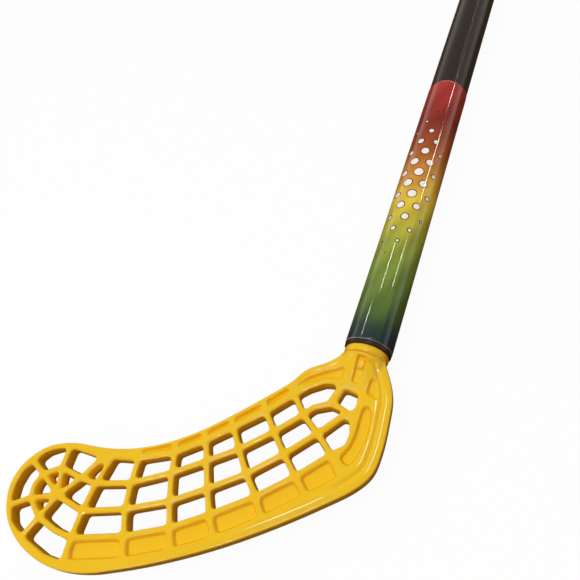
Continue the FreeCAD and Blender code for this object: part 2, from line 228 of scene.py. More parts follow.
# Blade: the plan comes from the CAD blade, and rounded ribs, recesses and the neck are worked out on it
blade = {
    "halfPlate": 4.2,
    "cellCut": 0.4,  # heights over the middle plane where the CAD blade is cut for its loops
    "recessCut": 2.9,
    # Widths of the bells that smooth the cells, the outline, the small cells, the recesses and the channels
    "soften": 0.45,
    "softenOutline": 0.8,
    "softenSmall": 0.9,
    "softenRecess": 1.4,
    "softenChannel": 0.45,
    "bellSteps": 6,  # points in a bell's width
    "spacing": 1.3,  # of a loop's points, and closer ones for rows along the rim and the channels
    "rowSpacing": 0.5,
    "channelSpacing": 0.4,
    "bendWeight": 4.0,  # how many millimetres a bend of one radian counts for
    "smallGirth": 27.0,  # cells with less girth than this count as small
    # Channels: recesses with less mean width than this, widened and moved towards their steep side
    "narrowWidth": 3.5,
    "channelGrow": 0.5,
    "channelUp": (-0.55, 0.83),  # the way towards the steep side
    "channelShift": 0.35,
    "channelDepth": 2.5,
    "channelRound": 0.25,
    "channelRuns": (1.0, 2.6),  # how far in the steep and the gentle side reach the full depth
    "channelMargin": 0.8,
    "longGirth": 40.0,  # a channel with more girth than this is drawn out by longStretch from its heel end
    "longStretch": 1.15,
    # The edges of ribs and of small cells: width, and fall as a share of it
    "ribRound": 2.1,
    "ribDropShare": 0.75,
    "smallRound": 2.0,
    "smallDropShare": 1.35,
    "roomShare": 0.48,  # most of the room between two edges that one edge's rounding takes
    "draft": 0.25,  # how far walls and small cells' walls come in towards the middle plane
    "smallDraft": 0.85,
    "rimRound": 0.7,
    "rimDrop": 0.7,
    "rimBevel": (3.3, 0.2, 0.5),  # where the slope starts, slope, softness of its break
    "bevelToe": (-100.0, -25.0, 0.2),  # the slope falls to this share between these places towards the toe
    # Recesses: depth, or this share of the mean width where that is less, and the wall's run at top and foot
    "recessDepth": 2.2,
    "recessShare": 0.62,
    "recessRound": 0.85,
    "footRun": 0.8,
    "footBendShare": 0.6,  # most of the tightest bend and of the mean width that the run at the foot takes
    "footWidthShare": 0.3,
    "recessPower": 1.3,
    "roundSteps": 6,
    "wallSteps": 11,
    # The neck: a cone from the plate to the collar
    "collarFoot": -4.6,
    "throat": -2.3,
    "throatRound": 0.2,
    "throatReach": 10.1,  # the plan's end inside the collar reaches this far to both sides
    "neckFoot": -24.6,
    "neckFootHalfWidth": 17.0,
    "neckFootOffset": -4.0,
    "neckTopRadius": 10.86,
    "neckBlend": 0.8,
    "neckBend": 1.3,  # power of the neck's climb, above 1 where it climbs faster near the collar
    # Grooves: distance from the edge, half width, depth. The swell is broad and shallow.
    "heelGroove": (5.2, 0.8, 0.9),
    "heelSwell": (5.2, 2.2, 0.25),
    "neckGroove": (2.5, 0.85, 0.9),
    "neckGrooveClimb": (-28.0, 0.055),  # from this height up the groove leaves the edge by this share
    "heelAcross": (1.0, 7.0),  # where grooves fade in across and along the blade, or out at its collar
    "heelAlong": (-84.0, -64.0),
    "neckAcross": (-3.0, -7.0),
    "neckAlong": (-32.0, -25.0),
    "grooveTop": (-3.0, -6.0),
    # The neck's slot, whose depth grows by a share of the neck's height over the plate, and the block in it
    "slotMiddle": (0.0, -12.6),
    "slotHalf": (2.3, 6.8),
    "slotDepth": 1.2,
    "slotDeepening": 0.3,
    "slotCorner": 1.1,
    "slotSlope": 1.2,
    "blockMiddle": (0.1, -9.6),
    "blockHalf": (1.7, 2.4),
    "blockHeight": 1.7,
    # Distances in from the rim, beside the heel and from a channel's edge that get rows of points
    "rimLines": (1.2, 1.6, 2.0, 2.4, 2.8, 3.2, 3.6, 4.0, 4.5),
    "heelLines": (5.0, 5.4, 5.8, 6.3, 6.9, 7.6),
    "channelLines": (-0.5, -0.25, 0.0, 0.25, 0.5, 0.8, 1.1, 1.5, 2.0, 2.5),
    "rowClear": 0.4,
    "rowNearShare": 0.98,  # a row ends where another edge is nearer than this share of its distance
    "rowSlack": 0.01,
    "gridClearShare": 0.6,
    "detailGrids": (  # corners and step of the grids of points over the heel and the neck's slot
        ((-34.0, -78.0), (22.0, -2.0), 0.8),
        ((-4.2, -21.6), (4.2, -4.4), 0.3),
    ),
    # Plastic: noises as scale and detail, relief as strength and height, and painted shade: steep walls
    # warmer over a range of lean
    "cloud": (0.03, 2.0),
    "tones": ((0.92, 0.54, 0.008), (0.95, 0.62, 0.014)),
    "paintedShadeTone": (0.94, 0.51, 0.007),
    "paintedShadeLean": (0.18, 0.6),
    "flow": (0.25, 3.0),
    "dulls": (0.04, 0.08),
    "grain": (0.9, 3.0),
    "swell": (0.13, 1.0),
    "swellWeight": 3.0,
    "relief": (0.3, 0.05),
}


# Closed loops where a level plane cuts a CAD node, in order round each loop
def cutLoops(node, height):
    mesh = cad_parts[node].data.copy()
    solid = bmesh.new()
    solid.from_mesh(mesh)
    bmesh.ops.remove_doubles(solid, verts=solid.verts, dist=meshing["solidWeld"] * mm)
    everything = solid.verts[:] + solid.edges[:] + solid.faces[:]
    level = Vector(stickOrigin) + Vector((0, 0, height * mm))
    bmesh.ops.bisect_plane(solid, geom=everything, plane_co=level, plane_no=(0, 0, 1),
                           clear_inner=True, clear_outer=True)
    bmesh.ops.remove_doubles(solid, verts=solid.verts, dist=meshing["cutWeld"] * mm)
    solid.to_mesh(mesh)
    solid.free()
    holder = bpy.data.objects.new("cut", mesh)
    bpy.context.scene.collection.objects.link(holder)
    with bpy.context.temp_override(active_object=holder, object=holder, selected_objects=[holder],
                                   selected_editable_objects=[holder]):
        bpy.ops.object.convert(target="CURVE")
    loops = []
    for spline in holder.data.splines:
        flat = np.empty(len(spline.points) * 4)
        spline.points.foreach_get("co", flat)
        place = (flat.reshape(-1, 4)[:, :3] - stickOrigin) / mm
        loops.append(place[:, 0] + 1j * place[:, 1])
    bpy.data.objects.remove(holder)
    return loops


# A loop smoothed by a bell curve along its length, then set out again, turning left, with points that
# stand closer where it bends
def evenLoop(points, soften, spacing):
    closed = np.append(points, points[0])
    along = np.concatenate(([0], np.cumsum(np.abs(np.diff(closed)))))
    count = int(along[-1] / soften * blade["bellSteps"])
    at = np.linspace(0, along[-1], count, endpoint=False)
    ring = np.interp(at, along, closed)
    waves = np.fft.fftfreq(count, along[-1] / count)
    ring = np.fft.ifft(np.fft.fft(ring) * np.exp(-2 * (np.pi * waves * soften) ** 2))
    if np.sum(np.imag(np.conj(ring) * np.roll(ring, -1))) < 0:
        ring = ring[::-1]
    run = np.roll(ring, -1) - ring
    bend = np.abs(np.angle(run / np.roll(run, 1)))
    bend = (bend + np.roll(bend, -1)) / 2
    place = np.concatenate(([0], np.cumsum(np.abs(run) + blade["bendWeight"] * bend)))
    at = np.linspace(0, place[-1], int(place[-1] / spacing), endpoint=False)
    return np.interp(at, place, np.append(ring, ring[0]))


# Unit normals that point out of a loop that turns left: each is the chord of its neighbours, turned right
def loopNormals(loop):
    chord = np.roll(loop, -1) - np.roll(loop, 1)
    return -1j * chord / np.abs(chord)


# Girth of a closed loop: the sum of its steps
def girthOf(loop):
    return np.abs(np.roll(loop, -1) - loop).sum()


# Mean width of a loop: twice its area over its girth
def meanWidth(loop):
    return np.sum(np.imag(np.conj(loop) * np.roll(loop, -1))) / girthOf(loop)


# The blade's edge: the outer loop below the collar, closed by two points inside the collar
def bladeOutline(loop, spacing):
    below = loop.imag < blade["collarFoot"]
    start = np.flatnonzero(below & ~np.roll(below, 1))[0]
    kept = np.roll(loop, -start)[:below.sum()]
    ends = np.clip(kept[[-1, 0]].real, -blade["throatReach"], blade["throatReach"]) + 1j * blade["throat"]
    return evenLoop(np.concatenate((kept, ends)), blade["softenOutline"], spacing)


# A narrow recess as a channel: moved towards its steep side, drawn out if it is long, and widened
def channelLoop(ring):
    ring = ring + blade["channelShift"] * complex(*blade["channelUp"])
    if girthOf(ring) > blade["longGirth"]:
        away = ring - ring[ring.real.argmax()]
        far = away[np.abs(away).argmax()]
        share = np.real(away * np.conj(far)) / np.abs(far) ** 2
        ring = ring + (blade["longStretch"] - 1) * share * far
    return ring + blade["channelGrow"] * loopNormals(ring)


# True where plan points lie inside a loop: a level ray from each point crosses it an odd number of times
def insideLoop(points, loop):
    after = np.roll(loop, -1)
    y = points.imag[:, None]
    crosses = (loop.imag > y) != (after.imag > y)
    climb = np.where(after.imag == loop.imag, 1, after.imag - loop.imag)
    x = loop.real + (y - loop.imag) * (after.real - loop.real) / climb
    return (crosses & (points.real[:, None] < x)).sum(axis=1) % 2 == 1


throughLoops = sorted(cutLoops("blade", blade["cellCut"]), key=len)
outerLoop = throughLoops.pop()
allLoops = sorted(cutLoops("blade", blade["recessCut"]), key=len)[:-1]
cellMiddles = np.array([loop.mean() for loop in throughLoops])
recessLoops = [loop for loop in allLoops if np.abs(cellMiddles - loop.mean()).min() > blade["soften"]]
outline = bladeOutline(outerLoop, blade["spacing"])
outlineFine = bladeOutline(outerLoop, blade["rowSpacing"])
cells, recesses, channels = [], [], []
for loop in throughLoops:
    small = np.abs(np.diff(loop)).sum() < blade["smallGirth"]
    cells.append(evenLoop(loop, blade["softenSmall" if small else "soften"], blade["spacing"]))
for loop in recessLoops:
    ring = evenLoop(loop, blade["softenChannel"], blade["channelSpacing"])
    if meanWidth(ring) < blade["narrowWidth"]:
        channels.append(channelLoop(ring))
    else:
        recesses.append(evenLoop(loop, blade["softenRecess"], blade["spacing"]))
print("blade plan: %d cells, %d recesses, %d channels" % (len(cells), len(recesses), len(channels)))


# Distance of each plan point from the nearest of some other points, worked out in handy batches
def nearestOf(points, others):
    batches = np.array_split(points, len(points) // meshing["batch"] + 1)
    return np.concatenate([np.abs(batch[:, None] - others).min(axis=1) for batch in batches])


# Distance of plan points from the nearest of many straight pieces: each point is dropped on each piece
def distanceTo(points, starts, ends):
    way = ends - starts
    share = np.real((points[:, None] - starts) * np.conj(way)) / np.abs(way) ** 2
    return np.abs(points[:, None] - starts - np.clip(share, 0, 1) * way).min(axis=1)


# Which plan points lie in a channel or within a margin of it
def byChannel(points, loop, margin):
    near = np.abs(points - loop.mean()) < np.abs(loop - loop.mean()).max() + margin
    ends = np.roll(loop, -1)
    near[near] = insideLoop(points[near], loop) | (distanceTo(points[near], loop, ends) < margin)
    return near


# Share of the full depth in a channel: a smooth rise with the distance from its steep upper side, times a
# straight one with that from its gentle lower side. Outside, the nearer distance counts as negative.
def channelShare(points, loop):
    share = np.zeros(points.shape)
    near = byChannel(points, loop, blade["channelRound"])
    points = points[near]
    ends = np.roll(loop, -1)
    upper = np.real(-1j * (ends - loop) * np.conj(complex(*blade["channelUp"]))) > 0
    above = distanceTo(points, loop[upper], ends[upper])
    below = distanceTo(points, loop[~upper], ends[~upper])
    outside = ~insideLoop(points, loop)
    first = above <= below
    above = np.where(outside & first, -above, above)
    below = np.where(outside & ~first, -below, below)
    steep, gentle = blade["channelRuns"]
    rise = np.clip((below + blade["channelRound"]) / (gentle + blade["channelRound"]), 0, 1)
    share[near] = smoothStep(-blade["channelRound"], steep, above) * rise
    return share


# 1 inside a rectangle with rounded corners and 0 outside, with a smooth slope: the distance from the edge is
# that from the rectangle shrunk by the corner's radius, less that radius
def padShare(plan, middle, half):
    corner, slope = blade["slotCorner"], blade["slotSlope"]
    across = np.abs(plan.real - middle[0]) - half[0] + corner
    along = np.abs(plan.imag - middle[1]) - half[1] + corner
    outside = np.hypot(np.maximum(across, 0), np.maximum(along, 0))
    edge = outside + np.minimum(np.maximum(across, along), 0) - corner
    return smoothStep(slope / 2, -slope / 2, edge)


# Height of the plate or of the cone that rises from it to the collar, the larger one, smoothly joined.
# The cone's section is an ellipse, whose height and half width change along the neck.
def neckHeight(x, y):
    plate, top, blend = blade["halfPlate"], blade["neckTopRadius"], blade["neckBlend"]
    foot, half = blade["neckFoot"], blade["neckFootHalfWidth"]
    rise = np.minimum((y - foot) / (blade["throat"] - foot), 1)
    climb = np.sign(rise) * np.abs(rise) ** blade["neckBend"]
    level = np.maximum(plate + (top - plate) * climb, 0)
    width = half + (top - half) * rise
    across = (x - blade["neckFootOffset"] * (1 - np.maximum(rise, 0))) / width
    roof = level * np.sqrt(np.clip(1 - across ** 2, 0, 1))
    height = (roof + plate + np.sqrt((roof - plate) ** 2 + blend ** 2)) / 2
    return height - blend ** 2 / 4 / (plate + blend)


# Half the moulding's thickness over the plan: plate and neck, less the rim's bevel, the channels, grooves
# shaped like a bell that run beside the edge, and a slot in the neck with a low block in it
def halfThickness(plan):
    x, y = plan.real, plan.imag
    thickness = neckHeight(x, y)
    flat = plan.reshape(-1)
    edge = nearestOf(flat, outlineFine).reshape(plan.shape)
    start, slope, softness = blade["rimBevel"]
    toe, heel, toeShare = blade["bevelToe"]
    slope = slope * (toeShare + (1 - toeShare) * smoothStep(toe, heel, x))
    within = start - edge
    thickness = thickness - slope * (within + np.hypot(within, softness)) / 2
    for loop in channels:
        thickness = thickness - blade["channelDepth"] * channelShare(flat, loop).reshape(plan.shape)
    below = smoothStep(*blade["grooveTop"], y)
    atHeel = smoothStep(*blade["heelAcross"], x) * smoothStep(*blade["heelAlong"], y) * below
    atNeck = smoothStep(*blade["neckAcross"], x) * smoothStep(*blade["neckAlong"], y) * below
    foot, climb = blade["neckGrooveClimb"]
    leave = climb * np.maximum(y - foot, 0)
    grooves = (("heelGroove", atHeel, 0), ("heelSwell", atHeel, 0), ("neckGroove", atNeck, leave))
    for name, share, away in grooves:
        place, spread, depth = blade[name]
        thickness = thickness - depth * share * np.exp(-((edge - (place + away)) / spread) ** 2)
    slot = padShare(plan, blade["slotMiddle"], blade["slotHalf"])
    block = padShare(plan, blade["blockMiddle"], blade["blockHalf"])
    depth = blade["slotDepth"] + blade["slotDeepening"] * (thickness - blade["halfPlate"])
    return thickness - slot * (depth - blade["blockHeight"] * block)


# A wall right through the blade: the rounded front edge, the middle line, which comes in by the draft, and
# the rounded back edge. An edge is a quarter ellipse: as the angle a goes from 0 to 90 degrees, a point
# lies rounding (1 - sin a) out from the loop and drop (1 - cos a) below the top.
def throughWall(loop, rounding, drop, outwards, draft):
    angle = np.linspace(0, np.pi / 2, blade["roundSteps"] + 1)[:, None]
    plan = loop + outwards * loopNormals(loop) * rounding * (1 - np.sin(angle))
    height = halfThickness(plan) - drop * (1 - np.cos(angle))
    middle = (loop - outwards * loopNormals(loop) * draft)[None]
    plan = np.concatenate((plan, middle, plan[::-1]))
    height = np.concatenate((height, np.zeros(middle.shape), -height[::-1]))
    return plan, height


# The wall of a recess: a soft slope from a level edge to a crisp foot. At share t of its run its height over
# the floor is (1 - t t) to a power, of the depth. The foot stays inside the loop's tightest bend.
def recessWall(loop, rounding):
    step = np.roll(loop, -1) - loop
    turn = np.angle(step / np.roll(step, 1))
    bend = (np.abs(step[turn > 0]) / turn[turn > 0]).min()
    width = meanWidth(loop)
    run = min(blade["footRun"], blade["footBendShare"] * bend, blade["footWidthShare"] * width)
    floor = blade["halfPlate"] - min(blade["recessDepth"], blade["recessShare"] * width)
    share = np.linspace(0, 1, blade["wallSteps"])[:, None]
    plan = loop + loopNormals(loop) * (rounding - (rounding + run) * share)
    height = floor + (halfThickness(plan) - floor) * (1 - share ** 2) ** blade["recessPower"]
    return plan, height, floor


# True where plan points lie on the flat tops: inside the first ring and in none of the others
def onTops(points, rings):
    inside = np.zeros(len(points), int)
    for ring in rings:
        inside += insideLoop(points, ring)
    return inside == 1


# Those of some plan points that lie on the flat tops, at least so far from every edge ring
def clearOf(points, rings, distance):
    points = points[onTops(points, rings)]
    return points[nearestOf(points, np.concatenate(rings)) > distance]


# Plan points of the flat tops: rows along the rim and the heel, even grids inside them, each clear of the
# channels and of the finer grids after it, and rows along each channel's edge, which end where they come
# nearer to another part of it
def detailPoints(rings):
    inwards = -loopNormals(outlineFine)
    atHeel = outlineFine.real > 0
    rows = [outlineFine + inwards * distance for distance in blade["rimLines"]]
    rows += [outlineFine[atHeel] + inwards[atHeel] * distance for distance in blade["heelLines"]]
    kept = [clearOf(np.concatenate(rows), rings, blade["rowClear"])]
    for index, (low, high, step) in enumerate(blade["detailGrids"]):
        across, along = [np.arange(low[axis], high[axis], step) for axis in range(2)]
        grid = (across[:, None] + 1j * along).reshape(-1)
        for finerLow, finerHigh, finerStep in blade["detailGrids"][index + 1:]:
            beside = (grid.real < finerLow[0] - finerStep) | (grid.real > finerHigh[0] + finerStep)
            beyond = (grid.imag < finerLow[1] - finerStep) | (grid.imag > finerHigh[1] + finerStep)
            grid = grid[beside | beyond]
        lines = np.where(grid.real > 0, blade["heelLines"][-1], blade["rimLines"][-1])
        grid = grid[nearestOf(grid, outlineFine) > lines + step / 2]
        kept.append(clearOf(grid, rings, blade["gridClearShare"] * step))
    kept = np.concatenate(kept)
    for loop in channels:
        kept = kept[~byChannel(kept, loop, blade["channelMargin"])]
        for distance in blade["channelLines"]:
            row = loop - loopNormals(loop) * distance
            least = blade["rowNearShare"] * np.abs(distance) - blade["rowSlack"]
            row = row[distanceTo(row, loop, np.roll(loop, -1)) > least]
            kept = np.concatenate((kept, clearOf(row, rings, blade["rowClear"])))
    return kept


# Triangles of the front's flat tops: between the first ring and the rings of the openings in it
def topTriangles(rings):
    border = np.concatenate(rings)
    start = np.cumsum([0] + [len(ring) for ring in rings])
    edges = []
    for first, ring in zip(start, rings):
        index = np.arange(len(ring))
        edges += np.stack((first + index, first + (index + 1) % len(ring)), axis=1).tolist()
    plan = np.concatenate((border, detailPoints(rings)))
    flat = [Vector(point) for point in np.stack((plan.real, plan.imag), axis=1).tolist()]
    points, _, triangles, _, _, _ = delaunay_2d_cdt(flat, edges, [], 1, meshing["planWeld"])
    points = np.array([tuple(point) for point in points])
    plan = points[:, 0] + 1j * points[:, 1]
    triangles = np.array(triangles)
    return plan, triangles[onTops(plan[triangles].mean(axis=1), rings)]


# A surface over the plan, as points and faces
def surface(plan, height, faces):
    return np.stack((plan.real, plan.imag, height), axis=-1).reshape(-1, 3), faces


# Several surfaces as one list of points and one of faces
def joined(surfaces):
    points, faces, count = [], [], 0
    for place, corners in surfaces:
        points.append(place)
        faces += (np.array(corners) + count).tolist()
        count += len(place)
    return np.concatenate(points), faces


# The moulding's surfaces: walls of the outline, the cells and the recesses, and the flat tops between them
def bladeSurfaces():
    openings = cells + recesses
    room = nearestOf(outline, np.concatenate(openings + channels))
    beside = np.minimum(blade["ribRound"], room / 2)
    rounding = np.minimum(blade["rimRound"], 2 * blade["roomShare"] * (room - beside))
    clear = smoothStep(blade["collarFoot"], 2 * blade["collarFoot"], outline.imag)
    rounding = blade["throatRound"] + np.maximum(rounding - blade["throatRound"], 0) * clear
    plan, height = throughWall(outline, rounding, np.minimum(rounding, blade["rimDrop"]), -1, blade["draft"])
    surfaces = [surface(plan, height, gridFaces(*plan.shape))]
    rings = [plan[0]]
    for index, loop in enumerate(openings):
        others = [outline] + openings[:index] + openings[index + 1:] + channels
        kind = "small" if girthOf(loop) < blade["smallGirth"] else "rib"
        room = nearestOf(loop, np.concatenate(others))
        rounding = np.minimum(blade[kind + "Round"], blade["roomShare"] * room)
        if index < len(cells):
            draft = blade["smallDraft" if kind == "small" else "draft"]
            plan, height = throughWall(loop, rounding, blade[kind + "DropShare"] * rounding, 1, draft)
            surfaces.append(surface(plan, height, gridFaces(*plan.shape)))
        else:
            plan, height, floor = recessWall(loop, np.minimum(rounding, blade["recessRound"]))
            level, triangles = topTriangles([plan[-1]])
            for side in (1, -1):
                surfaces.append(surface(plan, side * height, gridFaces(*plan.shape)))
                surfaces.append(surface(level, side * floor + 0 * level.real, triangles))
        rings.append(plan[0])
    top, triangles = topTriangles(rings)
    height = halfThickness(top)
    return surfaces + [surface(top, height, triangles), surface(top, -height, triangles)]


# A grid of points round the tube's axis, with its faces: x = radius sin angle, z = radius cos angle, so
# angle 0 is the blade's front side
def roundAxis(radius, along, angle, closed=True):
    place = (radius * np.sin(angle), along + np.zeros(radius.shape), radius * np.cos(angle))
    return np.stack(place, axis=-1).reshape(-1, 3), gridFaces(*radius.shape, closed=closed)


# A profile of radii and places along the tube, turned about the tube's axis
def turned(radius, along, steps=160):
    angle = np.linspace(0, 2 * np.pi, steps, endpoint=False)
    radius = np.asarray(radius)[:, None] + np.zeros(steps)
    return roundAxis(radius, np.asarray(along)[:, None], angle)


# A quarter circle between two directions of a profile in degrees, as radii and places about its middle
def quarter(middle, radius, first, second, steps=5):
    angle = np.radians(np.linspace(first, second, steps))
    return middle[0] + radius * np.cos(angle), middle[1] + radius * np.sin(angle)


# Collar: the round lip that the tube stands on
collar = {
    "foot": -4.3,
    "head": -0.05,
    "lipRadius": 11.8,
    "innerRadius": 10.4,
    "fullness": 0.6,  # below 1 the lip is fuller than a half ellipse
    "steps": 14,
}


# The lip's radius swells from the inner radius and back as a half ellipse: cos and sin of one angle
def collarShell():
    angle = np.linspace(-np.pi / 2, np.pi / 2, collar["steps"])
    swell = np.clip(np.cos(angle), 0, 1) ** collar["fullness"]
    radius = collar["innerRadius"] + (collar["lipRadius"] - collar["innerRadius"]) * swell
    middle, half = (collar["head"] + collar["foot"]) / 2, (collar["head"] - collar["foot"]) / 2
    along = middle + half * np.sin(angle)
    radius = np.concatenate(([0], radius, [0]))
    along = np.concatenate(([collar["foot"]], along, [collar["head"]]))
    return turned(radius, along)


# Spigot: the ribbed plug inside the tube that the screws hold
spigot = {
    "radius": 10.4,
    "ribHeight": 1.6,
    "ribHalfWidth": 1.2,
    "ribSlope": 0.4,
    "ribs": 6,
    "wall": 3.2,
    "floor": 6.0,
    "lead": 1.0,  # bevel at the top
    "root": -3.0,
    "columns": 240,
}


# A turned profile whose outer radius is that of the core, plus the ribs' height where the distance to a
# rib's middle line, radius x sine of the angle from it, is less than the rib's half width
def spigotShell():
    top = stickBox("blade")[1][1]
    angle = np.linspace(0, 2 * np.pi, spigot["columns"], endpoint=False)
    step = 2 * np.pi / spigot["ribs"]
    beside = spigot["radius"] * np.abs(np.sin(np.mod(angle + step / 2, step) - step / 2))
    half, slope = spigot["ribHalfWidth"], spigot["ribSlope"]
    rib = smoothStep(half + slope, half, beside)
    core = spigot["radius"] - spigot["ribHeight"]
    outer = core + spigot["ribHeight"] * rib
    even = np.ones(len(angle))
    bore, lead = core - spigot["wall"], spigot["lead"]
    radius = np.stack((0 * even, outer, outer, outer - lead, bore * even, bore * even, 0 * even))
    root, floor = spigot["root"], spigot["floor"]
    along = np.array((root, root, top - lead, top, top, floor, floor))
    return roundAxis(radius, along[:, None], angle)


# An attribute for how far the surface leans from the blade's faces: 1 less the normal's share along z, which
# masks the painted shade on the steep walls
def markPaintedShadeLean(mesh):
    normals = np.empty(len(mesh.loops) * 3, np.float32)
    mesh.corner_normals.foreach_get("vector", normals)
    shadeLean = 1 - np.abs(normals.reshape(-1, 3)[:, 2])
    mesh.attributes.new("shadeLean", "FLOAT", "CORNER").data.foreach_set("value", shadeLean)


# Yellow plastic with painted shade: its steep walls get a warmer, more orange colour that stands in for the
# orange of their shade
def bladePlastic():
    material, shader = newMaterial("bladePlastic", Specular_IOR_Level=0.5)
    place = stickCoordinates(material)
    cloud, flow, grain, swell = [noiseNode(material, place, *blade[name])
                                 for name in ("cloud", "flow", "grain", "swell")]
    shadeLean = addNode(material, "Attribute", attribute_name="shadeLean").outputs["Fac"]
    tone = mixColors(material, cloud, *blade["tones"])
    # painted shade: steep walls turn to the warmer, more orange wall colour
    colorBy(material, shader, easeNode(material, shadeLean, blade["paintedShadeLean"]), (tone, blade["paintedShadeTone"]))
    roughenBy(material, shader, flow, blade["dulls"])
    height = mathNode(material, "MULTIPLY_ADD", swell, blade["swellWeight"], grain)
    bumpFrom(material, shader, height, *blade["relief"])
    return material


surfaces = bladeSurfaces() + [collarShell(), spigotShell()]
moulding = addPiece("bladeMoulding", *joined(surfaces), bladePlastic(), "blade_plastic", "blade")
markPaintedShadeLean(moulding.data)

# Tube: a plain round wall with slightly rounded ends
tube = {
    "wall": 2.0,
    "endRound": 0.4,
    "endRow": 1.5,  # a row of points this far from each end keeps the wall's shading even
    # Brown-black plastic with faint draw lines: a noise's scale, detail and stretch
    "pattern": (1.0, 4.0, (1.1, 0.012, 1.1)),
    "tones": ((0.022, 0.016, 0.0115), (0.045, 0.034, 0.025)),
    "dulls": (0.12, 0.3),
    "relief": (0.25, 0.06),
}


# A turned profile: up the outside with a quarter circle at each end, and back down the bore
def tubeShell():
    soft = tube["endRound"]
    bore = tubeRadius - tube["wall"]
    lowRadius, lowPlace = quarter((tubeRadius - soft, soft), soft, -90, 0)
    highRadius, highPlace = quarter((tubeRadius - soft, tubeLength - soft), soft, 0, 90)
    rows = [tube["endRow"], tubeLength - tube["endRow"]]
    radius = np.concatenate(([bore], lowRadius, [tubeRadius, tubeRadius], highRadius, [bore, bore]))
    along = np.concatenate(([0], lowPlace, rows, highPlace, [tubeLength, 0]))
    return turned(radius, along)


tubePlastic = noisyFinish("tubePlastic", tube, Specular_IOR_Level=0.2)
addPiece("tubeWall", *tubeShell(), tubePlastic, "tube_plastic", "shaft_tube")

# Printed film: one strip wrapped round the lower tube, its last part lapped over its first
film = {
    "thickness": 0.2,
    "seamAngle": 31.0,  # degrees from the front towards the heel
    "lapAngle": 24.0,
    "lapHeight": 0.14,
    "edgeWave": 0.12,
    "columns": 200,
    "slant": 0.09,  # how far the colours climb along the tube for each millimetre round it
    "colors": (  # share of the film's length, and the colour there
        (0.02, (0.012, 0.03, 0.05)),
        (0.08, (0.03, 0.06, 0.036)),
        (0.15, (0.09, 0.165, 0.036)),
        (0.24, (0.18, 0.28, 0.042)),
        (0.34, (0.32, 0.38, 0.042)),
        (0.43, (0.57, 0.51, 0.045)),
        (0.52, (0.86, 0.6, 0.05)),
        (0.62, (0.64, 0.28, 0.035)),
        (0.72, (0.42, 0.1, 0.02)),
        (0.84, (0.25, 0.026, 0.015)),
        (1.0, (0.43, 0.035, 0.026)),
    ),
    "cloud": (0.045, 1.0),
    "cloudReach": 14.0,  # how far the cloud shifts the colours along the tube
    "bandLength": 53.2,
    "bandSlant": -2.0,
    "bandStrength": 0.45,
    "bandTone": (0.62, 0.55, 0.5),
    "dotColumns": 8,
    "dotRowShare": 0.866,  # the step between rows of dots, as a share of that between columns
    "dotRadius": 3.5,
    "dotMiddle": (112.0, -0.12),  # place along the tube, angle in radians
    "dotReach": (62.0, 1.35),
    "dotOutline": 0.55,
    "dotCrispness": 5.0,  # how fast a dot's edge turns to full, for each millimetre
    "outlineTone": (0.012, 0.008, 0.006),
    "dotTone": (0.94, 0.85, 0.81),
    "edgeLine": 0.2,
    "edgeTone": (0.42, 0.36, 0.32),
    "ripple": (0.6, 3.0, (1.0, 0.12, 1.0)),
    "relief": (0.12, 0.05),
}
filmLow, filmHigh = stickBox("decor_film")

# Wrapped strips: degrees left open at the seam and for a lap's climb, and the bevel's share of the thickness
wrap = {"seamGap": 0.4, "lapClimb": 4.0, "bevelShare": 1 / 3}


# A strip wrapped once round the shaft. Its outer radius is even, and over the lap's angle it is higher by
# the lap's height, after a smooth climb, up to the step at the seam. Its lower edge waves, as two sines.
def wrappedStrip(strip, low, high, inner):
    last = 360 - wrap["seamGap"]
    fromSeam = np.append(np.linspace(0, last - wrap["seamGap"], strip["columns"]), last)
    lapStart = 360 - strip["lapAngle"]
    lap = smoothStep(lapStart, lapStart + wrap["lapClimb"], fromSeam)
    angle = np.radians(strip["seamAngle"] + fromSeam)
    outer = inner + strip["thickness"] + strip["lapHeight"] * lap
    bevel = strip["thickness"] * wrap["bevelShare"]
    low = low + strip["edgeWave"] * (np.sin(angle) + np.sin(3 * angle + 1)) / 2
    high = high + 0 * low
    inner = inner + 0 * low
    row = tube["endRow"]
    radius = np.stack((inner, outer - bevel, outer, outer, outer, outer, outer - bevel, inner, inner))
    along = np.stack((low, low, low + bevel, low + row, high - row, high - bevel, high, high, low))
    return roundAxis(radius, along, angle)


# Angle round the tube from its front and from a seam, in radians, and the place along the tube
def roundTube(material, place, seam):
    axes = addNode(material, "SeparateXYZ")
    link(material, place, axes.inputs[0])
    angle = mathNode(material, "ARCTAN2", axes.outputs[0], axes.outputs[2])
    fromSeam = mathNode(material, "FLOORED_MODULO", mathNode(material, "SUBTRACT", angle, seam), 2 * np.pi)
    return angle, fromSeam, axes.outputs[1]


